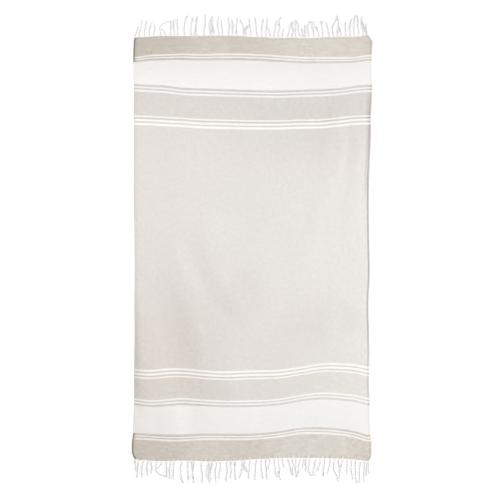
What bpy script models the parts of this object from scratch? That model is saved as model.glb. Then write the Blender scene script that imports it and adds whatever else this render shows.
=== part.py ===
"""A flat-woven beach towel of the hammam kind, lying face up on a level surface.

Metres, +Z up.  The origin is on that surface, under the middle of the towel.  +X runs
across the cloth and +Y along it.  The towel is one woven sheet, whose warp runs out at
both ends as a row of loose twisted strands.
"""

import math
from collections import namedtuple

import bmesh
import bpy
import numpy

MM = 0.001

# The cloth.
CLOTH_THICKNESS = 1.6 * MM
COLUMNS = 54  # cells across the cloth, and along each strip beside it
ROW_PITCH = 45 * MM
NOMINAL_TOP = 893 * MM
NOMINAL_BOTTOM = -885 * MM
FOLD_PIECES = 16  # straight pieces in the line that a fold follows

# The fringes.
HEM_GAP = 0.3 * MM
ROOT_STRIP_WIDTH = 4 * MM
STRAND_WIDTH = 3 * MM
STRAND_PIECES = 3
SQUARE_TILT = math.radians(45)  # turns a square strand to lie on one of its sides
WELD_DISTANCE = 0.01 * MM
BOTTOM_REACH = 1.115

# Where each selvedge lies at a place along the cloth, in millimetres from the middle.
Side = namedtuple("Side", "along left right")
SIDES = [
    Side(-885, -496, 493),
    Side(-868, -502, 504),
    Side(-844, -507, 507),
    Side(-811, -507, 503),
    Side(-775, -499, 501),
    Side(-643, -499, 498),
    Side(-542, -499, 496),
    Side(-508, -495, 497),
    Side(-407, -495, 499),
    Side(-273, -495, 495),
    Side(-172, -495, 495),
    Side(-71, -495, 499),
    Side(60, -495, 497),
    Side(197, -495, 495),
    Side(365, -497, 499),
    Side(500, -498, 505),
    Side(634, -498, 507),
    Side(735, -496, 507),
    Side(802, -499, 507),
    Side(868, -500, 505),
    Side(893, -493, 485),
]

# Where the cloth's two ends lie at a place across it, in millimetres from the middle.
End = namedtuple("End", "across top bottom")
ENDS = [
    End(-487, 890, -881),
    End(-424, 893, -884),
    End(-340, 895, -886),
    End(-197, 896, -887),
    End(-130, 895, -887),
    End(-4, 892, -881),
    End(122, 887, -874),
    End(206, 885, -874),
    End(290, 889, -874),
    End(374, 890, -878),
    End(437, 890, -880),
    End(483, 899, -887),
]

# The soft folds, in millimetres.  Each follows a curve through three places.  A fold with
# a trough has a crest at that distance on either side of the curve, and falls away
# outside it over the skirt.  A fold without one has a single crest on the curve.
Fold = namedtuple("Fold", "name start middle end trough skirt height")
FOLDS = [
    Fold("right swag", (424, 490), (346, 155), (262, -250), 34, 95, 5.0),
    Fold("left swag", (-420, 455), (-312, 70), (-100, -310), 36, 90, 5.0),
    Fold("lower left swag", (-410, -70), (-361, -307), (-290, -520), 40, 80, 5.5),
    Fold("upper right ripple", (300, 480), (296, 420), (300, 350), 0, 55, 2.5),
    Fold("lower middle swell", (-90, -440), (10, -425), (120, -440), 0, 70, 2.5),
]

# The strands of one fringe, in millimetres: where the root is across the cloth, how far
# the middle and the tip stand aside of the root, how far the tip reaches from the cloth,
# and how thick the strand is against a common one.
Strand = namedtuple("Strand", "root bend lean reach girth", defaults=[1.0])
STRANDS = [
    Strand(-487, 6, 10, 43),
    Strand(-470, 6, 10, 68),
    Strand(-449, 3, 10, 65),
    Strand(-428, 4, 10, 58),
    Strand(-409, 3, 2, 49),
    Strand(-382, -3, 36, 59),
    Strand(-360, -10, -17, 31),
    Strand(-339, -1, 0, 62),
    Strand(-324, -4, 0, 69),
    Strand(-309, -2, -2, 70),
    Strand(-280, -1, 12, 85),
    Strand(-253, 1, 5, 75),
    Strand(-234, 2, 7, 83, 1.5),
    Strand(-198, 3, 5, 85),
    Strand(-170, -1, 7, 82, 1.6),
    Strand(-155, -4, -8, 42),
    Strand(-137, -5, -1, 78),
    Strand(-121, -2, -5, 65),
    Strand(-95, 3, -2, 78),
    Strand(-80, 4, -2, 67),
    Strand(-61, -2, 0, 73),
    Strand(-33, -2, -13, 67),
    Strand(-21, -2, 8, 48),
    Strand(-3, -1, -5, 74),
    Strand(25, -4, -7, 80),
    Strand(43, 0, 6, 75),
    Strand(61, 2, 5, 84),
    Strand(78, -6, -9, 43),
    Strand(96, 4, 9, 74),
    Strand(114, 8, 9, 86),
    Strand(130, 1, 7, 39),
    Strand(152, 10, 17, 64),
    Strand(170, 3, 6, 63),
    Strand(185, -1, 5, 74),
    Strand(203, -6, -8, 66),
    Strand(217, -5, -7, 39),
    Strand(226, 0, -1, 53),
    Strand(241, -3, 8, 66),
    Strand(263, -6, -9, 55),
    Strand(283, -4, -19, 63),
    Strand(300, -1, -3, 70, 1.3),
    Strand(327, -4, -14, 62),
    Strand(344, -4, 16, 89),
    Strand(361, 5, 2, 76),
    Strand(377, -3, -5, 44),
    Strand(397, -1, -2, 60),
    Strand(415, -1, 5, 76),
    Strand(432, -2, 5, 90),
    Strand(452, -4, -8, 88),
    Strand(469, -5, -4, 86),
    Strand(476, -1, -2, 60),
    Strand(483, 1, 2, 50),
]

# How far the strands of the bottom fringe stand aside of those of the top one.
Drift = namedtuple("Drift", "across aside")
DRIFTS = [
    Drift(-487, -1),
    Drift(-424, -5),
    Drift(-382, -16),
    Drift(-330, -17),
    Drift(-280, -12),
    Drift(-200, -10),
    Drift(-95, -8),
    Drift(0, -3),
    Drift(78, 0),
    Drift(206, 3),
    Drift(290, 8),
    Drift(344, 5),
    Drift(415, 7),
    Drift(483, 5),
]


def from_table(table, column, at):
    """The value of a table's column at a place, between its rows, in metres."""
    places = [row[0] * MM for row in table]
    values = [getattr(row, column) * MM for row in table]
    return float(numpy.interp(at, places, values))


def clear_scene():
    for thing in list(bpy.data.objects):
        bpy.data.objects.remove(thing, do_unlink=True)


def new_collection(name):
    collection = bpy.data.collections.new(name)
    bpy.context.scene.collection.children.link(collection)
    return collection


def new_object(name, mesh, collection, material):
    mesh.materials.append(material)
    piece = bpy.data.objects.new(name, mesh)
    collection.objects.link(piece)
    return piece


def principled(name, colour, roughness):
    material = bpy.data.materials.new(name)
    material.use_nodes = True
    shader = material.node_tree.nodes["Principled BSDF"]
    shader.inputs["Base Color"].default_value = (*colour, 1)
    shader.inputs["Roughness"].default_value = roughness
    shader.inputs["Metallic"].default_value = 0
    return material


def cotton_cloth_material():
    return principled("woven cotton", (0.80, 0.77, 0.73), 0.9)


def cotton_yarn_material():
    return principled("twisted cotton yarn", (0.88, 0.86, 0.82), 0.9)


def curve_through(start, middle, end, pieces):
    """Points of the curve that passes its middle half way, as pairs of millimetres."""
    points = []
    for step in range(pieces + 1):
        share = step / pieces
        weights = (
            2 * share * share - 3 * share + 1,
            4 * share - 4 * share * share,
            2 * share * share - share,
        )
        x = sum(w * p[0] for w, p in zip(weights, (start, middle, end)))
        y = sum(w * p[1] for w, p in zip(weights, (start, middle, end)))
        points.append((x, y))
    return points


def nearest_on(points, x, y):
    """How far a place is from a line of points, and how far along the line it lies."""
    best = (math.inf, 0.0)
    for index in range(len(points) - 1):
        (ax, ay), (bx, by) = points[index], points[index + 1]
        run_x, run_y = bx - ax, by - ay
        share = ((x - ax) * run_x + (y - ay) * run_y) / (run_x**2 + run_y**2)
        share = min(max(share, 0), 1)
        distance = math.hypot(x - ax - share * run_x, y - ay - share * run_y)
        best = min(best, (distance, (index + share) / (len(points) - 1)))
    return best


def swell(share):
    """A smooth rise from 0 at a share of -1 or 1 to 1 in the middle."""
    return 0.5 + 0.5 * math.cos(math.pi * share) if abs(share) < 1 else 0.0


def lift_of(fold, line, x, y):
    """How high one fold holds the cloth at a place, in millimetres."""
    distance, along = nearest_on(line, x, y)
    from_crest = distance - fold.trough
    width = fold.trough if from_crest < 0 else fold.skirt
    return fold.height * swell(from_crest / width) * 4 * along * (1 - along)


def cloth_lift(lines, x, y):
    """How high the cloth's underside stands at a place; 0 where it lies flat."""
    lifts = [lift_of(fold, line, x / MM, y / MM) for fold, line in zip(FOLDS, lines)]
    return max(lifts) * MM


def row_places():
    """The places of the cloth's rows: one at each row of SIDES, and more between them."""
    places = [SIDES[0].along * MM]
    for row in SIDES[1:]:
        first = places[-1]
        last = row.along * MM
        cells = math.ceil((last - first) / ROW_PITCH)
        places += [first + (last - first) * (cell + 1) / cells for cell in range(cells)]
    return places


def cloth_point(across, place, lines):
    """A point of the underside: across from 0 to 1, and a row's place along the cloth."""
    left = from_table(SIDES, "left", place)
    right = from_table(SIDES, "right", place)
    x = left + (right - left) * across
    share = (place - NOMINAL_BOTTOM) / (NOMINAL_TOP - NOMINAL_BOTTOM)
    bottom = from_table(ENDS, "bottom", x)
    top = from_table(ENDS, "top", x)
    y = bottom + (top - bottom) * share
    return x, y, cloth_lift(lines, x, y)


def thicken(piece, thickness):
    modifier = piece.modifiers.new("thickness", "SOLIDIFY")
    modifier.thickness = thickness
    modifier.offset = 1


def make_cloth(collection):
    """The woven sheet, one solid of even thickness with its soft folds."""
    lines = [curve_through(f.start, f.middle, f.end, FOLD_PIECES) for f in FOLDS]
    places = row_places()
    sheet = bmesh.new()
    rows = len(places) - 1
    bmesh.ops.create_grid(sheet, x_segments=COLUMNS, y_segments=rows, size=0.5)
    for vertex in sheet.verts:
        place = places[round((vertex.co.y + 0.5) * rows)]
        vertex.co = cloth_point(vertex.co.x + 0.5, place, lines)
    mesh = bpy.data.meshes.new("towel_cloth")
    sheet.to_mesh(mesh)
    sheet.free()
    mesh.shade_smooth()
    cloth = new_object("towel_cloth", mesh, collection, cotton_cloth_material())
    thicken(cloth, CLOTH_THICKNESS)
    return cloth


def root_line(end, x, out):
    """The y of a line that follows one end of the cloth, a distance outside it."""
    sense = 1 if end == "top" else -1
    return from_table(ENDS, end, x) + sense * (HEM_GAP + out)


def make_root_strip(name, end, collection, material):
    """The narrow strip that holds the strands' roots, just off the cloth's end."""
    corners = SIDES[-1] if end == "top" else SIDES[0]
    left, right = corners.left * MM, corners.right * MM
    strip = bmesh.new()
    bmesh.ops.create_grid(strip, x_segments=COLUMNS, y_segments=1, size=0.5)
    for vertex in strip.verts:
        x = left + (right - left) * (vertex.co.x + 0.5)
        outer = vertex.co.y > 0 if end == "top" else vertex.co.y < 0
        y = root_line(end, x, ROOT_STRIP_WIDTH if outer else 0)
        vertex.co = (x, y, 0)
    mesh = bpy.data.meshes.new(name)
    strip.to_mesh(mesh)
    strip.free()
    piece = new_object(name, mesh, collection, material)
    thicken(piece, CLOTH_THICKNESS)
    return piece


def strand_route(strand, end):
    """The points of one strand's middle line, level, from inside the strip to the tip."""
    aside = 0 if end == "top" else from_table(DRIFTS, "aside", strand.root * MM)
    reach = strand.reach * MM * (1 if end == "top" else BOTTOM_REACH)
    sense = 1 if end == "top" else -1
    root_x = strand.root * MM + aside
    root_y = root_line(end, root_x, ROOT_STRIP_WIDTH / 2)
    height = STRAND_WIDTH * strand.girth / 2
    sideways = curve_through((0, 0), (strand.bend, 0), (strand.lean, 0), STRAND_PIECES)
    route = []
    for step, (shift, _) in enumerate(sideways):
        out = (reach - ROOT_STRIP_WIDTH / 2) * step / STRAND_PIECES
        route.append((root_x + shift * MM, root_y + sense * out, height))
    return route


def make_strands(name, end, guides):
    """All strands of one fringe: square yarns that lie level, made from one curve."""
    curve = bpy.data.curves.new(name, "CURVE")
    curve.dimensions = "3D"
    curve.twist_mode = "Z_UP"
    curve.bevel_depth = STRAND_WIDTH / math.sqrt(2)
    curve.bevel_resolution = 0
    curve.use_fill_caps = True
    for strand in STRANDS:
        route = strand_route(strand, end)
        spline = curve.splines.new("POLY")
        spline.points.add(len(route) - 1)
        for point, place in zip(spline.points, route):
            point.co = (*place, 1)
            point.radius = strand.girth
            point.tilt = SQUARE_TILT
    drawn = bpy.data.objects.new(name + "_curve", curve)
    guides.objects.link(drawn)
    bpy.context.view_layer.update()
    evaluated = drawn.evaluated_get(bpy.context.evaluated_depsgraph_get())
    mesh = bpy.data.meshes.new_from_object(evaluated)
    welded = bmesh.new()
    welded.from_mesh(mesh)
    bmesh.ops.remove_doubles(welded, verts=welded.verts, dist=WELD_DISTANCE)
    welded.to_mesh(mesh)
    welded.free()
    strands = bpy.data.objects.new(name + "_strands", mesh)
    strands.matrix_world = drawn.matrix_world
    strands.hide_render = True
    strands.display_type = "WIRE"
    guides.objects.link(strands)
    bpy.data.objects.remove(drawn, do_unlink=True)
    return strands


def make_fringe(end, collection, guides, material):
    """One fringe: its strands, joined only at their roots by the strip."""
    name = "fringe_" + end
    fringe = make_root_strip(name, end, collection, material)
    join = fringe.modifiers.new("strands", "BOOLEAN")
    join.operation = "UNION"
    join.solver = "EXACT"
    join.object = make_strands(name, end, guides)
    return fringe


def make_towel():
    clear_scene()
    towel = new_collection("beach_towel")
    guides = new_collection("guides")
    yarn = cotton_yarn_material()
    make_cloth(towel)
    make_fringe("top", towel, guides, yarn)
    make_fringe("bottom", towel, guides, yarn)


make_towel()
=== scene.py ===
"""The looks of a flat-woven beach towel with fringed ends, spread out on a pale floor.

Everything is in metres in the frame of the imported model: the origin is on the floor under
the middle of the towel, +X runs across the cloth, +Y along it and +Z up.  The tables are in
millimetres and are turned into metres where they are read.
"""

import math
import random
from collections import namedtuple

import bpy
import numpy as np
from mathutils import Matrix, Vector


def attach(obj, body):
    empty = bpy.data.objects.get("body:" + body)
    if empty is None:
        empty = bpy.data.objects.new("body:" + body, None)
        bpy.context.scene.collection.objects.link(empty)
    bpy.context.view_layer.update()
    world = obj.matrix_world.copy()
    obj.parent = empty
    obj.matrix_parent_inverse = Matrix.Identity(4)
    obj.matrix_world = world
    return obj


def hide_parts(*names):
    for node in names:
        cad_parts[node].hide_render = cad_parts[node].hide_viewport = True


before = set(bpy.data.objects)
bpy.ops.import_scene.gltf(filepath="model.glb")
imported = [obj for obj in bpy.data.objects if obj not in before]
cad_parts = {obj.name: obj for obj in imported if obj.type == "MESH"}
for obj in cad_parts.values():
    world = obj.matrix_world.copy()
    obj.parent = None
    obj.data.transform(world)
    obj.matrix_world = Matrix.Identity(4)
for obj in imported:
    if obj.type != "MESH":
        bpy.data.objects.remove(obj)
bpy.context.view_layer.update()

# ---------------------------------------------------------------------------------------
# The camera.  It looks straight down on the towel from above the middle of the frame, at
# the photograph's view.

VIEW_WIDTH = 2.1
VIEW_MIDDLE = (-0.0063, -0.0021)
LENS = 85
SENSOR = 36

bpy.ops.object.select_all(action="DESELECT")
bpy.ops.object.camera_add(location=(*VIEW_MIDDLE, VIEW_WIDTH * LENS / SENSOR))
camera = bpy.context.object
camera.name = camera.data.name = "camera"
camera.data.lens = LENS
camera.data.sensor_width = SENSOR
camera.rotation_euler = (0, 0, 0)
bpy.context.scene.camera = camera

# ---------------------------------------------------------------------------------------
# The cloth.  One length of plain weave in cotton, cream warp crossed by taupe and white
# weft, straight off the loom: its sides are the selvedges and nothing is sewn to it.  It
# lies flat and is held up only along a few soft folds that were left when it was spread.

MM = 0.001
FLAT_WIDTH = 1.000
FLAT_LENGTH = 1.772
CLOTH_THICKNESS = 1.2 * MM

# Where each selvedge lies at a place along the towel.
Side = namedtuple("Side", "along left right")
SIDES = [
    Side(-889, -488, 491),
    Side(-877, -492, 500),
    Side(-862, -499, 504),
    Side(-834, -502, 504),
    Side(-806, -501, 504),
    Side(-775, -497, 500),
    Side(-735, -496, 499),
    Side(-666, -493, 498),
    Side(-531, -492, 495),
    Side(-440, -491, 497),
    Side(-350, -490, 496),
    Side(-240, -491, 493),
    Side(-100, -490, 499),
    Side(20, -491, 497),
    Side(290, -494, 496),
    Side(480, -493, 503),
    Side(580, -494, 504),
    Side(660, -493, 508),
    Side(740, -494, 506),
    Side(800, -496, 506),
    Side(850, -495, 508),
    Side(879, -493, 507),
    Side(900, -490, 491),
]

# Where the two ends of the cloth lie at a place across it.
End = namedtuple("End", "across top bottom")
ENDS = [
    End(-492, 888, -878),
    End(-477, 890, -882),
    End(-443, 892, -884),
    End(-400, 895, -887),
    End(-275, 896, -886),
    End(-155, 898, -889),
    End(-107, 898, -887),
    End(-60, 897, -886),
    End(-6, 893, -881),
    End(50, 891, -878),
    End(110, 888, -875),
    End(170, 889, -874),
    End(229, 887, -875),
    End(340, 892, -877),
    End(440, 893, -882),
    End(470, 895, -885),
    End(489, 900, -887),
]

# Six weft threads that the stripes show, none of them straight: where each lies along the
# towel at a place across it.  The numbers in their names are their distances from the end
# of the cloth as it was on the loom.
Weft = namedtuple("Weft", "across low78 low246 low376 high344 high224 high78")
WEFTS = [
    Weft(-484, -794, -629, -507, 561, 692, 805),
    Weft(-424, -798, -636, -510, 559, 688, 814),
    Weft(-361, -802, -632, -504, 555, 685, 817),
    Weft(-298, -803, -627, -503, 552, 676, 820),
    Weft(-214, -798, -632, -510, 546, 673, 818),
    Weft(-130, -797, -637, -516, 544, 670, 820),
    Weft(-4, -797, -637, -512, 541, 666, 819),
    Weft(122, -785, -629, -509, 541, 664, 812),
    Weft(206, -772, -614, -497, 544, 667, 806),
    Weft(290, -771, -604, -483, 545, 670, 805),
    Weft(374, -777, -608, -482, 553, 675, 805),
    Weft(437, -788, -615, -487, 560, 684, 806),
    Weft(484, -803, -627, -497, 562, 688, 814),
]

# The soft folds: a crest along a curve through three places, drawn from the top down, how
# high it stands and how far it takes to fall away to its left and to its right.
Fold = namedtuple("Fold", "name start middle end height left right")
FOLDS = [
    Fold("upper left swag", (-330, 560), (-300, 260), (-250, -20), 2.0, 90, 200),
    Fold("left swag", (-235, 120), (-104, -145), (45, -330), 6.2, 92, 270),
    Fold("left swag's near side", (-352, 110), (-294, -110), (-207, -320), 2.6, 110, 78),
    Fold("lower left fold", (-335, -60), (-232, -340), (-160, -730), 7.6, 150, 250),
    Fold("lower left crest", (-305, -160), (-240, -340), (-180, -560), 1.6, 70, 55),
    Fold("lower left edge", (-470, -160), (-460, -455), (-438, -715), 6.6, 52, 230),
    Fold("right swag", (375, 500), (290, 140), (180, -190), 1.1, 80, 45),
    Fold("right ripple", (462, 490), (430, 240), (405, 20), 1.1, 45, 60),
    Fold("lower right dimple", (395, -150), (363, -304), (310, -450), 3.0, 110, 155),
    Fold("upper right ripple", (385, 700), (345, 520), (290, 330), 2.0, 55, 110),
    Fold("narrow ripple", (388, 520), (374, 400), (350, 250), 1.0, 40, 34),
    Fold("edge ripple", (455, 560), (440, 430), (425, 300), 1.1, 38, 60),
    Fold("low crease", (80, -425), (-35, -442), (-150, -420), 0.8, 16, 16),
]

# Where a selvedge stands up a little from the floor: on which side, between which places
# along the towel it fades in and out again, how far in from the edge its crest is, how wide
# it is to either side of that, and how high.
Roll = namedtuple("Roll", "side start full_from full_to end inset half_width height")
ROLLS = [
    Roll("left", -900, -870, -790, -760, 4, 9, 1.8),
    Roll("left", 760, 790, 870, 900, 4, 9, 1.8),
    Roll("right", -700, -600, 660, 740, 0, 12, 0.6),
    Roll("right", 340, 420, 560, 640, 0, 17, 2.0),
    Roll("right", 790, 820, 880, 900, 5, 8, 1.4),
]

# The cloth is drawn with narrow columns along its selvedges and wide ones between them, and
# with narrow rows at its ends.  The shares are of its width and of its length.
EDGE_SHARE = 0.028
EDGE_COLUMNS = 14
COLUMNS = 150
END_SHARE = 0.0017
END_ROWS = 3
ROWS = 276

# How many straight pieces a fold's crest is drawn in, how high the cloth is rumpled, and how
# far in from its edges the rumples are in full.
CREST_PIECES = 24
RUMPLE_HEIGHT = 0.8 * MM
CALM_MARGIN = 60 * MM


def column(table, name):
    """One column of a table, in metres."""
    return np.array([getattr(row, name) for row in table], float) * MM


def flowing(places, values, at):
    """Values on a smooth curve through the values at a few places."""
    slopes = np.gradient(values, places)
    at = np.clip(at, places[0], places[-1])
    first = np.clip(np.searchsorted(places, at) - 1, 0, len(places) - 2)
    run = places[first + 1] - places[first]
    t = (at - places[first]) / run
    return (
        (2 * t**3 - 3 * t**2 + 1) * values[first]
        + (t**3 - 2 * t**2 + t) * run * slopes[first]
        + (3 * t**2 - 2 * t**3) * values[first + 1]
        + (t**3 - t**2) * run * slopes[first + 1]
    )


def end_line(end, x):
    """Where the top or bottom end of the cloth lies along the towel."""
    return flowing(column(ENDS, "across"), column(ENDS, end), x)


def along_towel(x, loom):
    """Where a weft thread lies along the towel, from its place on the loom."""
    half = FLAT_LENGTH / 2
    across = column(WEFTS, "across")
    known = [(-half, end_line("bottom", x))]
    for name in Weft._fields[1:]:
        side = 1 if name.startswith("high") else -1
        from_end = float(name.lstrip("highlow")) * MM
        known.append((side * (half - from_end), flowing(across, column(WEFTS, name), x)))
    known.append((half, end_line("top", x)))
    y = np.zeros_like(x)
    for (low, y_low), (high, y_high) in zip(known, known[1:]):
        between = (loom >= low - MM) & (loom <= high + MM)
        share = (loom - low) / (high - low)
        y[between] = (y_low + (y_high - y_low) * share)[between]
    return y


def across_towel(share, y):
    """Where a warp thread lies across the towel, from its share of the width."""
    along = column(SIDES, "along")
    left = flowing(along, column(SIDES, "left"), y)
    right = flowing(along, column(SIDES, "right"), y)
    return left + (right - left) * share


def swell(share):
    """A smooth rise from 0 at a share of -1 or 1 to 1 in the middle."""
    return np.where(np.abs(share) < 1, 0.5 + 0.5 * np.cos(np.pi * share), 0)


def curve_through(start, middle, end, pieces):
    """Points of the curve that passes its middle half way."""
    t = np.linspace(0, 1, pieces + 1)[:, None]
    start, middle, end = (np.array(place, float) for place in (start, middle, end))
    return (2 * t * t - 3 * t + 1) * start + (4 * t - 4 * t * t) * middle + (2 * t * t - t) * end


def nearest_on(points, x, y):
    """How far places are to the right of a line drawn downwards, and along it from 0 to 1."""
    distance = np.full_like(x, np.inf)
    aside = np.zeros_like(x)
    along = np.zeros_like(x)
    for index in range(len(points) - 1):
        corner, run = points[index], points[index + 1] - points[index]
        off_x, off_y = x - corner[0], y - corner[1]
        share = np.clip((off_x * run[0] + off_y * run[1]) / (run @ run), 0, 1)
        away = np.hypot(off_x - share * run[0], off_y - share * run[1])
        nearer = away < distance
        distance = np.where(nearer, away, distance)
        aside = np.where(nearer, np.sign(run[0] * off_y - run[1] * off_x) * away, aside)
        along = np.where(nearer, (index + share) / (len(points) - 1), along)
    return aside, along


def fold_lift(x, y):
    """How high the folds hold the cloth."""
    total = np.zeros_like(x)
    for fold in FOLDS:
        line = curve_through(fold.start, fold.middle, fold.end, CREST_PIECES) * MM
        aside, along = nearest_on(line, x, y)
        width = np.where(aside < 0, fold.left, fold.right) * MM
        total += fold.height * MM * swell(aside / width) * 4 * along * (1 - along)
    return total


def roll_lift(share, y):
    """How high the selvedges stand up."""
    lift = np.zeros_like(y)
    for roll in ROLLS:
        inset = (share if roll.side == "left" else 1 - share) * FLAT_WIDTH
        stations = np.array([roll.start, roll.full_from, roll.full_to, roll.end]) * MM
        fade = np.interp(y, stations, [0, 1, 1, 0])
        fade = fade * fade * (3 - 2 * fade)
        bump = swell((inset - roll.inset * MM) / (roll.half_width * MM))
        lift = np.maximum(lift, roll.height * MM * bump * fade)
    return lift


def rumple(x, y):
    """The slight unevenness of cloth that was smoothed out by hand, from 0 to 1: long waves
    that cross each other, and short ones that do."""
    long_waves = np.sin(9 * x + 23 * y + 1.0) * np.sin(31 * x - 7 * y + 2.2)
    short_waves = np.sin(47 * x + 38 * y + 0.4) * np.sin(58 * x - 29 * y + 4.0)
    return 0.5 + 0.3 * long_waves + 0.2 * short_waves


def from_edges(share, y):
    """A rise from 0 at the edges of the cloth to 1 well inside it."""
    from_side = np.minimum(share, 1 - share) * FLAT_WIDTH / CALM_MARGIN
    from_end = (FLAT_LENGTH / 2 - np.abs(y)) / CALM_MARGIN
    inside = np.clip(np.minimum(from_side, from_end), 0, 1)
    return inside * inside * (3 - 2 * inside)


def selected_alone(piece):
    """Makes a piece the only selected one, and the active one."""
    bpy.ops.object.select_all(action="DESELECT")
    piece.select_set(True)
    bpy.context.view_layer.objects.active = piece


bpy.ops.object.select_all(action="DESELECT")
bpy.ops.mesh.primitive_grid_add(x_subdivisions=COLUMNS, y_subdivisions=ROWS, size=1)
cloth = bpy.context.object
cloth.name = cloth.data.name = "woven_cloth"


def loom_places(across, along):
    """The places on the loom of a plain grid's corners, each from 0 to 1 both ways."""
    steps = [0, EDGE_COLUMNS, COLUMNS - EDGE_COLUMNS, COLUMNS]
    share = np.interp(np.rint(across * COLUMNS), steps, [0, EDGE_SHARE, 1 - EDGE_SHARE, 1])
    steps = [0, END_ROWS, ROWS - END_ROWS, ROWS]
    length = np.interp(np.rint(along * ROWS), steps, [0, END_SHARE, 1 - END_SHARE, 1])
    return share, (length - 0.5) * FLAT_LENGTH


corners = np.empty(3 * len(cloth.data.vertices))
cloth.data.vertices.foreach_get("co", corners)
corners = corners.reshape(-1, 3)
share, loom = loom_places(corners[:, 0] + 0.5, corners[:, 1] + 0.5)
straight_x = across_towel(share, loom)
corners[:, 1] = along_towel(straight_x, loom)
corners[:, 0] = across_towel(share, corners[:, 1])
corners[:, 2] = fold_lift(corners[:, 0], corners[:, 1])
rumpled = rumple(corners[:, 0], corners[:, 1]) * from_edges(share, loom)
corners[:, 2] += RUMPLE_HEIGHT * rumpled
corners[:, 2] = np.maximum(corners[:, 2], roll_lift(share, corners[:, 1]))
cloth.data.vertices.foreach_set("co", corners.ravel())

# The cloth's own map holds each thread's place on the loom, in metres.
loom_map = cloth.data.uv_layers[0]
loom_map.name = "loom"
places = np.empty(2 * len(loom_map.data))
loom_map.data.foreach_get("uv", places)
places = places.reshape(-1, 2)
share, loom = loom_places(places[:, 0], places[:, 1])
places[:, 0], places[:, 1] = (share - 0.5) * FLAT_WIDTH, loom
loom_map.data.foreach_set("uv", places.ravel())
cloth.data.update()

selected_alone(cloth)
bpy.ops.object.shade_smooth()
thickness = cloth.modifiers.new("thickness", "SOLIDIFY")
thickness.thickness = CLOTH_THICKNESS
thickness.offset = 1
bpy.ops.object.modifier_apply(modifier=thickness.name)


class Dye:
    """A number, colour or place in a material.  Sums and products add Math nodes."""

    def __init__(self, tree, socket=None):
        self.tree = tree
        self.socket = socket

    def node(self, kind, settings, inputs, output=0):
        """Adds a node: its settings first, then the values or links of its sockets."""
        made = self.tree.nodes.new("ShaderNode" + kind)
        for name, value in settings.items():
            if name == "stops":
                ramp = made.color_ramp
                while len(ramp.elements) < len(value):
                    ramp.elements.new(1)
                for stop, (position, colour) in zip(ramp.elements, value):
                    stop.position = position
                    stop.color = colour
            elif name == "interpolation":
                made.color_ramp.interpolation = value
            else:
                setattr(made, name, value)
        for name, value in inputs.items():
            if isinstance(value, Dye):
                self.tree.links.new(value.socket, made.inputs[name])
            else:
                made.inputs[name].default_value = value
        return Dye(self.tree, made.outputs[output])

    def maths(self, operation, *terms):
        return self.node("Math", {"operation": operation}, dict(enumerate(terms)))

    def __add__(self, other):
        return self.maths("ADD", self, other)

    __radd__ = __add__

    def __sub__(self, other):
        return self.maths("SUBTRACT", self, other)

    def __rsub__(self, other):
        return self.maths("SUBTRACT", other, self)

    def __mul__(self, other):
        return self.maths("MULTIPLY", self, other)

    __rmul__ = __mul__

    def __truediv__(self, other):
        return self.maths("DIVIDE", self, other)

    def size(self):
        """The number without its sign."""
        return self.maths("ABSOLUTE", self)

    def wave(self):
        """A wave from -1 to 1, with a crest where the number is 0."""
        return self.maths("COSINE", self)

    def under(self, limit):
        """1 where the number is under a limit, and 0 elsewhere."""
        return self.maths("LESS_THAN", self, limit)

    def between(self, start, end):
        """1 where the number is between two limits, and 0 elsewhere."""
        return self.under(end) - self.under(start)

    def held(self):
        """The number kept between 0 and 1."""
        return self.node("Clamp", {}, {"Value": self})

    def within(self, middle, half, soft):
        """1 within half of a middle and 0 away from it, with soft edges."""
        return ((half - (self - middle).size()) / soft + 0.5).held()

    def speckle(self, across, along, detail):
        """Noise from -1 to 1 at a place that two numbers give, counted in speckles."""
        place = self.node("CombineXYZ", {}, {"X": across, "Y": along, "Z": 0})
        settings = {"noise_dimensions": "2D"}
        inputs = {"Vector": place, "Scale": 1, "Detail": detail, "Roughness": 0.6}
        return (self.node("TexNoise", settings, inputs) - 0.5) * 2

    def plain(self, colour):
        """One colour, the same all over."""
        made = self.node("RGB", {}, {})
        made.socket.default_value = colour
        return made

    def blended(self, share, other):
        """This colour blended with another by the other's share."""
        settings = {"data_type": "RGBA", "blend_type": "MIX"}
        return self.node("Mix", settings, {0: share, 6: self, 7: other}, 2)

    def toned(self, tone):
        """This colour made lighter or darker by a number."""
        settings = {"operation": "SCALE"}
        return self.node("VectorMath", settings, {0: self, "Scale": tone})

    def tinted(self, share, tint):
        """This colour multiplied by a tint where a share is 1, and less where it is less."""
        settings = {"data_type": "RGBA", "blend_type": "MULTIPLY"}
        return self.node("Mix", settings, {0: share, 6: self, 7: (*tint, 1)}, 2)


def new_material(name, roughness, sheen):
    """A material and its shader, evenly rough and with the slight sheen that cotton has."""
    material = bpy.data.materials.new(name)
    material.use_nodes = True
    shader = material.node_tree.nodes["Principled BSDF"]
    shader.inputs["Roughness"].default_value = roughness
    shader.inputs["Sheen Weight"].default_value = sheen
    shader.inputs["Sheen Roughness"].default_value = 0.6
    shader.inputs["Specular IOR Level"].default_value = 0.25
    return material, shader


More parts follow.
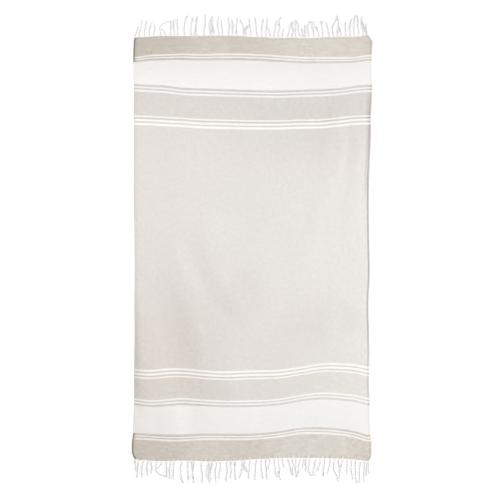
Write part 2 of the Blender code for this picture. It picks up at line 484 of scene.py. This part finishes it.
# The yarns' finish and colours, and where the weft changes, in millimetres from the end of
# the cloth: how far its taupes reach, and its white stripes with the share of white in each.
COTTON_ROUGHNESS = 0.92
COTTON_SHEEN = 0.08
CREAM_WARP = (0.80, 0.785, 0.755, 1)
WHITE_WEFT = (0.93, 0.918, 0.897, 1)
BODY_WEFT = (0.590, 0.533, 0.511, 1)
BAND_WEFT = (0.562, 0.495, 0.459, 1)
END_WEFT = (0.510, 0.420, 0.318, 1)
END_BAND = 97
INNER_BANDS = 366
Stripe = namedtuple("Stripe", "start end share")
WHITE_STRIPES = [
    Stripe(75.0, 82.0, 0.92),
    Stripe(87.2, 93.2, 0.92),
    Stripe(102.0, 219.8, 0.90),
    Stripe(228.8, 235.6, 1.0),
    Stripe(242.0, 249.9, 1.0),
    Stripe(341.2, 348.1, 1.0),
    Stripe(355.1, 364.3, 1.0),
    Stripe(371.8, 380.3, 1.0),
]
BLACK = (0, 0, 0, 1)
RAMP_LENGTH = 0.4

# The widest gap between white stripes that is packed tight, how far from the end of the cloth
# the tones of the end band reach, where those of the inner band start, and where the three
# white stripes that lie together start and end.
PACKED_GAP = 10
END_TONES = 100
INNER_TONES = 218
TRIPLE_STRIPES = (338, 385)

# The distances between the threads and between the bundles at the ends of the cloth, how far
# the threads waver, and how deep the weave is.
WARP_PITCH = 0.65 * MM
WEFT_PITCH = 0.70 * MM
BUNDLE_PITCH = 20.5 * MM
THREAD_WAVER = 0.16 * MM
WEAVE_DEPTH = 0.12 * MM

# How strongly slubs show as a mottle and as streaks: on the taupe of the middle, and how much
# more in the inner bands, in the end bands and on white.
Slubs = namedtuple("Slubs", "middle inner_band end_band white")
MOTTLE = Slubs(0.086, 0.024, 0.065, 0)
STREAKS = Slubs(0.030, 0.020, 0.150, 0.020)

# How much of the taupe's own tones a pure white stripe still shows, how light the painted shade
# leaves the weave in its pits, and how much lighter the painted light makes its threads.
TAUPE_UNDER_WHITE = 0.2
PIT_SHADE_TONE = 0.86
THREAD_CROWN_LIGHT = 0.20

# Patches of painted light and shade, where the cloth is made paler or darker, or warmer or
# cooler, as the light falls on it, and one slub by the middle that is a thick place in the weft:
# the middle of each such patch across and along the towel, half its size and how soft its edge
# is each way, in millimetres, and what it does to the colour.  The first patches are on the
# taupe weft and the next on the white stripes, and the last are on the taupe of both end bands.
Patch = namedtuple("Patch", "name across half soft along long_half long_soft tint")
EndPatch = namedtuple("EndPatch", "name across half soft tint")
PAINTED_LIGHT_PATCHES_AND_SLUB = [
    Patch("paler right of the middle", 270, 200, 200, 60, 200, 160, (0.999, 1.020, 1.011)),
    Patch("cooler by the middle", -50, 100, 140, 110, 110, 120, (0.985, 1.006, 1.0)),
    Patch("cooler at the lower right", 420, 70, 100, -350, 250, 150, (0.982, 1.0, 0.991)),
    Patch("darker at the lower right", 235, 90, 80, -320, 75, 80, (0.975, 0.975, 0.975)),
    Patch("darker by the lower right side", 430, 50, 50, -315, 60, 60, (0.955, 0.955, 0.955)),
    Patch("browner at the lower left", -360, 200, 160, -430, 200, 200, (0.991, 0.970, 0.941)),
    Patch("darker left of the middle", -190, 130, 100, -300, 150, 140, (0.965, 0.965, 0.965)),
    Patch("darker under the left swag", 0, 70, 110, -170, 110, 80, (0.962, 0.962, 0.962)),
    Patch("darker along the top stripes", 30, 330, 300, 460, 70, 60, (0.992, 0.992, 0.992)),
    Patch("paler above the left swag", -110, 80, 60, 105, 60, 90, (1.022, 1.022, 1.022)),
    Patch("darker in the lower band", -175, 80, 80, -570, 70, 20, (0.976, 0.976, 0.976)),
    Patch("darker at the lower left corner", -430, 70, 60, -850, 50, 30, (0.976, 0.976, 0.976)),
    Patch("darker at the upper right", 330, 280, 380, 500, 110, 140, (0.954, 0.954, 0.954)),
    Patch("slub by the middle", -46, 36, 10, -10, 1.6, 2, (0.950, 0.950, 0.950)),
]
PAINTED_WHITE_LIGHT_PATCHES = [
    Patch("paler white at the left", -295, 35, 40, -725, 62, 10, (1.050, 1.050, 1.050)),
    Patch("creamier white at the left", -300, 250, 200, -725, 62, 10, (1.016, 1.0, 0.998)),
    Patch("paler white at the top right", 255, 60, 100, 530, 30, 20, (1.040, 1.040, 1.040)),
]
PAINTED_END_BAND_LIGHT_PATCHES = [
    EndPatch("browner at the left", -430, 70, 80, (1.035, 1.015, 0.995)),
    EndPatch("paler left of the middle", -190, 85, 50, (1.053, 1.053, 1.053)),
    EndPatch("paler to the right", 250, 170, 100, (1.054, 1.065, 1.095)),
]
NARROW_STRIPE_TINT = (1.055, 1.036, 1.015)
TRIPLE_STRIPE_TINT = (1.016, 1.016, 1.016)


def stripe_stops():
    """The stops of a ramp along the cloth: how white it is in each of the white stripes."""
    stops = [(0, BLACK)]
    for stripe in WHITE_STRIPES:
        white = (stripe.share, stripe.share, stripe.share, 1)
        stops.append((stripe.start * MM / RAMP_LENGTH, white))
        stops.append((stripe.end * MM / RAMP_LENGTH, BLACK))
    return stops


woven_cotton, shader = new_material("woven cotton", COTTON_ROUGHNESS, COTTON_SHEEN)
dye = Dye(woven_cotton.node_tree)
loom_place = dye.node("UVMap", {"uv_map": "loom"}, {})
across = dye.node("SeparateXYZ", {}, {"Vector": loom_place}, "X")
along = dye.node("SeparateXYZ", {}, {"Vector": loom_place}, "Y")
from_end = FLAT_LENGTH / 2 - along.size()
along_ramp = from_end / RAMP_LENGTH

# Each thread wavers a little, so that no two crossings are alike.
waver_across = across + dye.speckle(across * 110, along * 60, 2) * THREAD_WAVER
waver_along = along + dye.speckle(across * 60 + 7, along * 110, 2) * THREAD_WAVER
warp_wave = (waver_across * (math.pi / WARP_PITCH)).wave()
weft_wave = (waver_along * (math.pi / WEFT_PITCH)).wave()
crossing = warp_wave * weft_wave
warp_on_top = (crossing * 2.5 + 0.5).held()
height = dye.maths("POWER", crossing.size(), 0.5)

# The weft: white on the stripes, and a taupe that is darker in the end bands than inside.
ground_stops = [
    (0, END_WEFT),
    (END_BAND * MM / RAMP_LENGTH, BAND_WEFT),
    (INNER_BANDS * MM / RAMP_LENGTH, BODY_WEFT),
]
banded = {"interpolation": "CONSTANT"}
ground = dye.node("ValToRGB", {**banded, "stops": ground_stops}, {"Fac": along_ramp})
whiteness = dye.node("ValToRGB", {**banded, "stops": stripe_stops()}, {"Fac": along_ramp})
whiteness_share = dye.node("RGBToBW", {}, {"Color": whiteness})
weft = ground.blended(whiteness, dye.plain(WHITE_WEFT))

in_end_band = from_end.under(END_TONES * MM)
in_inner_band = from_end.between(INNER_TONES * MM, INNER_BANDS * MM)
taupe = 1 - whiteness_share * (1 - TAUPE_UNDER_WHITE)


def strength(slubs):
    """How strongly slubs show from place to place."""
    in_bands = in_inner_band * slubs.inner_band + in_end_band * slubs.end_band
    return slubs.middle + in_bands + whiteness_share * slubs.white


# Slubs, the thicker and thinner places of the yarn, show as short streaks along the weft
# and as a mottle, both of them plainer in the darker bands.
mottle = dye.speckle(across * 72, along * 76, 1) * strength(MOTTLE) * taupe
streaks = dye.speckle(across * 22, along * 160 + 5, 2) * strength(STREAKS)
slubs = mottle + streaks
warp_slubs = dye.speckle(across * 650, along * 90 + 3, 2)
weft = weft.toned(1 + slubs)
warp = dye.plain(CREAM_WARP).toned(1 + slubs * 0.6 + warp_slubs * 0.012)
yarns = weft.blended(warp_on_top, warp)

# Tones: painted shade makes the end bands darker to the sides, the inner band is lighter at the
# bottom, painted shade makes the white greyer to the lower right, where the low light falls
# brightest, and painted shade makes the cloth darker near its ends, most of all at the top left.
# Painted shade darkens the pits between the threads, and painted light lightens the threads.
end_side_shade = across * (0.050 + along * 0.110 - across * 0.230)
painted_end_band_shade = 1 + in_end_band * taupe * (end_side_shade + along * 0.007 - 0.016)
inner_tint = 1 - in_inner_band * along * 0.040
to_right = across.maths("MAXIMUM", across, 0)
painted_white_shade = 1 - whiteness_share * to_right * (0.115 - along * 0.075)
near_end = 1 - ((from_end - 90 * MM) / (130 * MM)).held()
painted_end_shade = 1 - (0.030 + along * 0.030) * (1 - across * 0.8) * near_end
pit_shade = PIT_SHADE_TONE + height * THREAD_CROWN_LIGHT

# The taupe weft is packed tighter, and looks darker, between two close white stripes.  Painted
# shade darkens the cloth along the selvedges: most of all at the left of the end bands, and at
# the right in a thin line, with a wider strip beside it in the upper half.
packed = 0
for before, after in zip(WHITE_STRIPES, WHITE_STRIPES[1:]):
    gap = after.start - before.end
    if gap < PACKED_GAP:
        middle = (before.end + after.start) / 2
        packed = packed + from_end.within(middle * MM, gap / 2 * MM, 0.5 * MM)
left = -FLAT_WIDTH / 2
left_edge_shade = across.within(left, 13 * MM, 12 * MM) * taupe * (0.07 + in_end_band * 0.13)
left_roll_shade = across.within(left, 6 * MM, 4 * MM) * in_end_band * 0.42
left_white_shade = across.within(left, 12 * MM, 8 * MM) * in_end_band * whiteness_share * 0.25
right_shadow_line = 0.20 + along.within(-50 * MM, 360 * MM, 120 * MM) * 0.18 - in_end_band * 0.12
right_edge_shadow = across.within(492.5 * MM, 3 * MM, 3 * MM) * taupe * right_shadow_line
right_strip_shade = across.within(486 * MM, 8 * MM, 5 * MM) * taupe * 0.13
right_strip_shade = right_strip_shade * along.within(440 * MM, 210 * MM, 100 * MM)
packing_and_edge_shade = (1 - packed * 0.06) * (1 - left_edge_shade) * (1 - left_roll_shade) * (1 - left_white_shade)
packing_and_edge_shade = packing_and_edge_shade * (1 - right_edge_shadow) * (1 - right_strip_shade)

# The last threads before the fringe are drawn into bundles, with painted shade in the gaps
# between them, and right of the middle a line of the weft among them is darker.
uneven = dye.speckle(across * 30, along * 20, 1) * 2.5
bundle_gap_shade = (across * (2 * math.pi / BUNDLE_PITCH) + uneven).wave()
hem = from_end.within(0, 8.5 * MM, 5 * MM) * bundle_gap_shade * 0.105
dark_weft = from_end.within(5 * MM, 1.5 * MM, 2 * MM)
hem = hem + dark_weft * across.within(300 * MM, 240 * MM, 60 * MM) * 0.05
tone = painted_end_band_shade * inner_tint * painted_white_shade * painted_end_shade * pit_shade * packing_and_edge_shade * (1 - hem)
colour = yarns.toned(tone)

# The patches of painted light and shade, and the slub, each on its own weft.
for patches, share in ((PAINTED_LIGHT_PATCHES_AND_SLUB, taupe), (PAINTED_WHITE_LIGHT_PATCHES, whiteness_share)):
    for patch in patches:
        here = across.within(patch.across * MM, patch.half * MM, patch.soft * MM) * share
        here = here * along.within(patch.along * MM, patch.long_half * MM, patch.long_soft * MM)
        colour = colour.tinted(here, patch.tint)
for patch in PAINTED_END_BAND_LIGHT_PATCHES:
    here = across.within(patch.across * MM, patch.half * MM, patch.soft * MM)
    colour = colour.tinted(here * in_end_band * taupe, patch.tint)

# The narrow white stripes are paler and warmer in the end bands, and a little paler where
# three of them lie together.
colour = colour.tinted(in_end_band * whiteness_share, NARROW_STRIPE_TINT)
first, last = TRIPLE_STRIPES
in_triple = from_end.between(first * MM, last * MM)
colour = colour.tinted(in_triple * whiteness_share, TRIPLE_STRIPE_TINT)
dye.tree.links.new(colour.socket, shader.inputs["Base Color"])
weave = dye.node("Bump", {}, {"Height": height, "Strength": 0.5, "Distance": WEAVE_DEPTH})
dye.tree.links.new(weave.socket, shader.inputs["Normal"])

cloth.data.materials.append(woven_cotton)
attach(cloth, "root")
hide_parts("towel_cloth")

# ---------------------------------------------------------------------------------------
# The two fringes.  The warp threads that stand out of each end of the cloth are gathered
# into bundles, and each bundle is twisted by hand into a strand of two plies.  They lie
# on the floor as they fell, some hooked round the next one.

# How wide a strand is, the radius of its plies as a share of that, the length of a whole
# turn, the steps in which it is drawn, half the length of a knot as a share of the strand's,
# how far out the twist starts, and how much farther the bottom fringe reaches.
FRINGE_YARN = (0.765, 0.755, 0.745, 1)
STRAND_WIDTH = 6.5 * MM
PLY_SHARE = 0.245
PLY_PITCH = 11 * MM
STRAND_STEP = 1.7 * MM
KNOT_SHARE = 0.16
TWIST_START = 7
BOTTOM_REACH = 1.085

# The tip of a strand: from what share of its length its plies part and by how much, and from
# what share they thin out and by how much.
PARTED_FROM = 0.85
PARTED = 0.35
THINNED_FROM = 0.75
THINNED = 0.55

# How wide the hairs are, and how long at a strand's tip and along it, in millimetres.
HAIR_WIDTH = 0.6 * MM
TIP_HAIRS = (4, 10)
FUZZ_HAIRS = (5, 12)

# The threads that are gathered into a strand: how wide, how many, and how far apart where
# they leave the cloth, in millimetres.
THREAD_WIDTH = 0.8 * MM
THREADS_GATHERED = 9
THREAD_STEP = 2.1

# The strands of one fringe: where the root is across the cloth, how far the tip reaches
# from it, how far the strand stands aside of its root a quarter, half and three quarters
# of the way and at the tip, and how thick it is against a common one.
Strand = namedtuple("Strand", "root reach low middle high tip girth", defaults=[1.0])
STRANDS = [
    Strand(-487, 43, 2, 6, 8, 10, 0.7),
    Strand(-470, 68, 1, 5, 8, 10, 0.9),
    Strand(-449, 65, 0, 2, 6, 10),
    Strand(-428, 58, 0, 1, 6, 10),
    Strand(-409, 49, -1, 4, 3, 3),
    Strand(-339, 62, 0, 0, 0, 0),
    Strand(-324, 69, 0, -3, -2, 0),
    Strand(-309, 70, -1, -1, -2, -2),
    Strand(-280, 85, -2, -1, 4, 12),
    Strand(-253, 75, 0, 1, 3, 5, 0.9),
    Strand(-240, 45, 1, 3, 6, 8, 0.8),
    Strand(-229, 83, -2, -3, 0, 1),
    Strand(-198, 85, -1, 4, 5, 5),
    Strand(-170, 82, -1, 0, 2, 7, 0.9),
    Strand(-155, 42, 0, -2, -5, -9),
    Strand(-137, 78, -1, -5, -3, -1, 0.9),
    Strand(-121, 65, 0, -1, -4, -6, 0.9),
    Strand(-95, 78, 1, 3, -1, -2),
    Strand(-80, 67, 0, 3, 2, -2, 0.9),
    Strand(-61, 73, -1, -2, 0, 1),
    Strand(-33, 67, 0, -1, -5, -13),
    Strand(-3, 74, 0, -1, -5, -5),
    Strand(25, 80, -4, -4, -7, -8),
    Strand(43, 75, 0, 1, 5, 6),
    Strand(61, 84, 0, 4, 5, 6),
    Strand(78, 43, 1, -2, -6, -9, 0.9),
    Strand(96, 74, 1, 4, 5, 9, 0.9),
    Strand(114, 86, 0, 6, 2, 9),
    Strand(130, 39, 0, 1, 4, 8, 0.8),
    Strand(152, 64, 4, 8, 12, 16, 0.9),
    Strand(170, 63, 2, 5, 0, 5, 0.9),
    Strand(185, 74, 0, -1, 0, 5, 0.9),
    Strand(203, 66, -3, -6, -6, -10, 0.9),
    Strand(217, 39, -2, -4, -5, -6, 0.8),
    Strand(226, 53, 0, -1, -1, -2),
    Strand(241, 66, -1, -4, -4, 2),
    Strand(263, 57, -1, -2, -8, -10),
    Strand(283, 46, -1, -2, -8, -10),
    Strand(300, 70, 0, -2, -4, -4),
    Strand(327, 62, -2, -5, -9, -14),
    Strand(344, 89, -2, -2, 11, 16),
    Strand(361, 76, 0, 5, 5, 2),
    Strand(377, 44, -1, -3, -6, -9),
    Strand(397, 60, 0, -1, -2, -2, 0.9),
    Strand(415, 76, -1, -2, 1, 5),
    Strand(432, 90, -2, -1, 0, 5),
    Strand(452, 88, -1, -5, -4, -8),
    Strand(469, 86, -1, -5, -7, -4),
    Strand(480, 60, -1, -6, -9, -12, 0.9),
    Strand(485, 50, 0, -3, -4, -4, 0.9),
]

# Lengths that do not run straight out from the cloth: the places that each passes, across
# the towel and out from the cloth's end, and how thick it is.  One that starts nearer to the
# cloth than FROM_CLOTH comes out of it.
FROM_CLOTH = 10
Stray = namedtuple("Stray", "name places girth")
STRAYS = [
    Stray("hook to the left", [(-382, 8), (-383, 21), (-385, 34), (-372, 49), (-342, 60)], 1.0),
    Stray("hook's second leg", [(-360, 8), (-370, 22), (-381, 31)], 1.0),
    Stray("low arch", [(-22, 8), (-26, 22), (-22, 37), (-14, 45), (-5, 48)], 1.3),
    Stray("inside the low arch", [(-23, 24), (-17, 31), (-15, 41)], 1.2),
    Stray("loose tuft's left half", [(-175, 14), (-178, 30), (-179, 50), (-171, 70)], 0.8),
    Stray("loose tuft's right half", [(-165, 14), (-164, 30), (-162, 50), (-156, 76)], 0.8),
    Stray("side hook", [(117, 51), (113, 55), (108, 53)], 1.0),
    Stray("wide arch", [(168, 60), (172, 68), (180, 72), (188, 70), (194, 63)], 0.6),
    Stray("narrow arch", [(242, 62), (247, 67), (254, 64), (255, 57)], 1.0),
    Stray("leaning v", [(273, 46), (269, 40), (264, 55), (261, 63)], 0.8),
    Stray("flat arch", [(257, 64), (263, 67), (271, 64)], 0.8),
]

# Thick places, where a strand has come untwisted or is caught in a knot: whose root it is
# on, how far along the strand, and how thick it is there.
Knot = namedtuple("Knot", "root at size")
KNOTS = [
    Knot(-449, 0.78, 1.5),
    Knot(-428, 0.55, 1.6),
    Knot(-409, 0.45, 1.4),
    Knot(-339, 0.97, 1.6),
    Knot(-324, 0.50, 1.2),
    Knot(-280, 0.96, 1.8),
    Knot(-229, 0.72, 2.3),
    Knot(-198, 0.45, 1.3),
    Knot(-170, 0.68, 1.2),
    Knot(-155, 0.10, 2.0),
    Knot(-95, 0.40, 1.2),
    Knot(-61, 0.06, 2.5),
    Knot(-3, 0.85, 1.3),
    Knot(43, 0.85, 1.6),
    Knot(61, 0.48, 1.4),
    Knot(114, 0.58, 1.3),
    Knot(226, 0.33, 1.5),
    Knot(263, 0.30, 1.5),
    Knot(300, 0.82, 1.9),
    Knot(377, 0.45, 1.4),
    Knot(415, 0.60, 1.4),
]

# How far the strands of the bottom fringe stand aside of those of the top one at their roots,
# and how much farther at the distance SWAY_OUT from the cloth.
SWAY_OUT = 80 * MM
Drift = namedtuple("Drift", "across aside sway")
DRIFTS = [
    Drift(-487, -1, -14),
    Drift(-470, -2, -22),
    Drift(-424, -5, -18),
    Drift(-409, -9, -10),
    Drift(-382, -16, 0),
    Drift(-330, -17, 0),
    Drift(-280, -12, -6),
    Drift(-200, -10, -3),
    Drift(-95, -8, 0),
    Drift(0, -3, 0),
    Drift(78, 0, 0),
    Drift(206, 3, 0),
    Drift(290, 8, 0),
    Drift(344, 5, 0),
    Drift(415, 7, 0),
    Drift(452, 6, 1),
    Drift(469, 6, 6),
    Drift(483, 5, 14),
]


def smooth_route(places, step):
    """Points a step apart on a smooth curve through a few places, all in millimetres."""
    places = np.array(places, float)
    runs = np.hypot(*np.diff(places, axis=0).T)
    marks = np.concatenate([[0], np.cumsum(runs)])
    at = np.linspace(0, marks[-1], max(3, math.ceil(marks[-1] / step)) + 1)
    return np.column_stack([flowing(marks, places[:, 0], at), flowing(marks, places[:, 1], at)])


def on_floor(end, root, places):
    """Places beside one end of the cloth, from how far across and out they are."""
    across, out = places[:, 0] * MM, places[:, 1] * MM
    if end == "bottom":
        aside = np.interp(root * MM, column(DRIFTS, "across"), column(DRIFTS, "aside"))
        sway = np.interp(root * MM, column(DRIFTS, "across"), column(DRIFTS, "sway"))
        across = across + aside + sway * out / SWAY_OUT
        return across, end_line(end, across) - out * BOTTOM_REACH
    return across, end_line(end, across) + out


def add_yarn(curve, points, widths):
    """One round yarn along a line of points, with its width at each."""
    spline = curve.splines.new("POLY")
    spline.points.add(len(points) - 1)
    spline.points.foreach_set("co", np.column_stack([points, np.ones(len(points))]).ravel())
    spline.points.foreach_set("radius", np.asarray(widths) / 2)


def add_strand(curve, chance, end, root, places, girth, knots=()):
    """Two plies twisted round each other along a route on the floor."""
    route = smooth_route(places, STRAND_STEP / MM)
    x, y = on_floor(end, root, route)
    share = np.linspace(0, 1, len(x))
    width = STRAND_WIDTH * girth * (0.9 + 0.1 * swell(2 * share - 1))
    for knot in knots:
        width = width * (1 + (knot.size - 1) * swell((share - knot.at) / KNOT_SHARE))
    run = np.concatenate([[0], np.cumsum(np.hypot(np.diff(x), np.diff(y)))])
    side_x, side_y = -np.gradient(y), np.gradient(x)
    length = np.hypot(side_x, side_y)
    side_x, side_y = side_x / length, side_y / length
    turn = run * 2 * math.pi / PLY_PITCH + chance.uniform(0, 2 * math.pi)
    parted = 1 + PARTED * np.clip((share - PARTED_FROM) / (1 - PARTED_FROM), 0, 1)
    thinned = 1 - THINNED * np.clip((share - THINNED_FROM) / (1 - THINNED_FROM), 0, 1) ** 2
    for ply in (0, math.pi):
        off = width * 0.5 * (1 - 2 * PLY_SHARE) * parted
        aside, up = off * np.cos(turn + ply), off * np.sin(turn + ply)
        points = np.column_stack([x + side_x * aside, y + side_y * aside, width / 2 + up])
        add_yarn(curve, points, 2 * PLY_SHARE * width * thinned)
    return x, y, width


def add_hair(curve, chance, x, y, start, lean, length):
    """One hair that leaves a strand at a point of its route and sinks to the floor."""
    heading = math.atan2(y[start] - y[start - 3], x[start] - x[start - 3]) + lean
    curl = chance.uniform(-0.8, 0.8)
    points = []
    for share in (0, 0.5, 1):
        way = heading + curl * share
        height = 1.5 * MM * (1 - share) + HAIR_WIDTH / 2
        there = (math.cos(way) * length * share, math.sin(way) * length * share)
        points.append((x[start] + there[0], y[start] + there[1], height))
    add_yarn(curve, np.array(points), np.array([1, 1, 0.6]) * HAIR_WIDTH)


def add_hairs(curve, chance, x, y):
    """The threads frayed out of a strand's tip, and the fine fuzz along it."""
    for _ in range(3):
        start = len(x) - 1 - chance.randint(0, 3)
        lean = chance.uniform(-0.5, 0.5)
        add_hair(curve, chance, x, y, start, lean, chance.uniform(*TIP_HAIRS) * MM)
    for start in range(3, len(x), 2):
        for side in (-1, 1, chance.choice((-1, 1))):
            lean = side * chance.uniform(0.3, 1.2)
            add_hair(curve, chance, x, y, start, lean, chance.uniform(*FUZZ_HAIRS) * MM)


def add_gathering(curve, chance, end, root, height):
    """The threads that come straight out of the cloth and are gathered into a strand."""
    for index in range(THREADS_GATHERED):
        spread = (index - THREADS_GATHERED // 2) * THREAD_STEP + chance.uniform(-0.5, 0.5)
        leave = 1.5 + chance.uniform(0, 1)
        places = [
            (root + spread, -1),
            (root + spread * 0.9, leave),
            (root + spread * 0.45, TWIST_START + 1),
            (root + spread * 0.15, TWIST_START + 9),
        ]
        x, y = on_floor(end, root, smooth_route(places, 3))
        heights = np.linspace(CLOTH_THICKNESS / 2, height, len(x))
        add_yarn(curve, np.column_stack([x, y, heights]), np.full(len(x), THREAD_WIDTH))


def make_fringe(end):
    """All the yarns of one fringe, as one piece."""
    chance = random.Random(end)
    curve = bpy.data.curves.new("twisted_fringe_" + end, "CURVE")
    curve.dimensions = "3D"
    curve.bevel_depth = 1
    curve.bevel_resolution = 1
    curve.use_fill_caps = True
    for strand in STRANDS:
        asides = [strand.low, strand.middle, strand.high, strand.tip]
        quarters = np.array([0.25, 0.5, 0.75, 1]) * strand.reach
        places = [(strand.root, TWIST_START)]
        for aside, out in zip(asides, quarters):
            if out > TWIST_START + 3:
                places.append((strand.root + aside, out))
        knots = [knot for knot in KNOTS if knot.root == strand.root]
        x, y, width = add_strand(curve, chance, end, strand.root, places, strand.girth, knots)
        add_hairs(curve, chance, x, y)
        add_gathering(curve, chance, end, strand.root, width[0] / 2)
    for stray in STRAYS:
        root = stray.places[0][0]
        width = add_strand(curve, chance, end, root, stray.places, stray.girth)[2]
        if stray.places[0][1] < FROM_CLOTH:
            add_gathering(curve, chance, end, root, width[0] / 2)
    fringe = bpy.data.objects.new(curve.name, curve)
    bpy.context.scene.collection.objects.link(fringe)
    selected_alone(fringe)
    bpy.ops.object.convert(target="MESH")
    fringe = bpy.context.object
    bpy.ops.object.mode_set(mode="EDIT")
    bpy.ops.mesh.select_all(action="SELECT")
    bpy.ops.mesh.remove_doubles(threshold=0.01 * MM)
    bpy.ops.object.mode_set(mode="OBJECT")
    bpy.ops.object.shade_smooth()
    return fringe


twisted_yarn, shader = new_material("twisted cotton yarn", COTTON_ROUGHNESS, COTTON_SHEEN)
dye = Dye(twisted_yarn.node_tree)
place = dye.node("TexCoord", {}, {}, "Object")
across = dye.node("SeparateXYZ", {}, {"Vector": place}, "X")
along = dye.node("SeparateXYZ", {}, {"Vector": place}, "Y")
tufts = dye.speckle(across * 70, along * 40, 2)
fibres = dye.speckle(across * 2600, along * 900, 2)
at_bottom = along.under(0)
yarn_tone = 1 + tufts * 0.10 + fibres * 0.08 + at_bottom * 0.05
colour = dye.plain(FRINGE_YARN).toned(yarn_tone)
dye.tree.links.new(colour.socket, shader.inputs["Base Color"])
fibre_bump = dye.node("Bump", {}, {"Height": fibres, "Strength": 0.4, "Distance": 0.1 * MM})
dye.tree.links.new(fibre_bump.socket, shader.inputs["Normal"])

for end in ("top", "bottom"):
    fringe = make_fringe(end)
    fringe.data.materials.append(twisted_yarn)
    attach(fringe, "root")
    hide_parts("fringe_" + end)

# ---------------------------------------------------------------------------------------
# The studio.  The towel lies on a light table, a white sheet lit from below that keeps the
# ground around the cloth pure white.  A soft light hangs over the upper left, and a wide one
# stands low on the right and brings out the folds, in a white room.

bpy.ops.object.select_all(action="DESELECT")
bpy.ops.mesh.primitive_plane_add(size=16, location=(0, 0, 0))
floor = bpy.context.object
floor.name = floor.data.name = "light_table"
lit_sheet, shader = new_material("lit white sheet", 0.9, 0)
shader.inputs["Base Color"].default_value = (0.25, 0.25, 0.25, 1)
shader.inputs["Emission Color"].default_value = (1, 1, 1, 1)
shader.inputs["Emission Strength"].default_value = 0.80
floor.data.materials.append(lit_sheet)

room = bpy.data.worlds.new("white room")
bpy.context.scene.world = room
room.use_nodes = True
background = room.node_tree.nodes["Background"]
background.inputs["Color"].default_value = (1, 1, 1, 1)
background.inputs["Strength"].default_value = 0.25

Lamp = namedtuple("Lamp", "name place size power")
LAMPS = [
    Lamp("soft_light", (-1.00, 0.48, 2.0), 1.0, 28),
    Lamp("low_light", (3.4, -0.59, 1.87), 1.6, 166),
]
for lamp in LAMPS:
    bpy.ops.object.light_add(type="AREA", location=lamp.place)
    light = bpy.context.object
    light.name = light.data.name = lamp.name
    light.data.shape = "SQUARE"
    light.data.size = lamp.size
    light.data.energy = lamp.power
    light.rotation_euler = (-Vector(lamp.place)).to_track_quat("-Z", "Y").to_euler()

bpy.context.scene.view_settings.view_transform = "Standard"
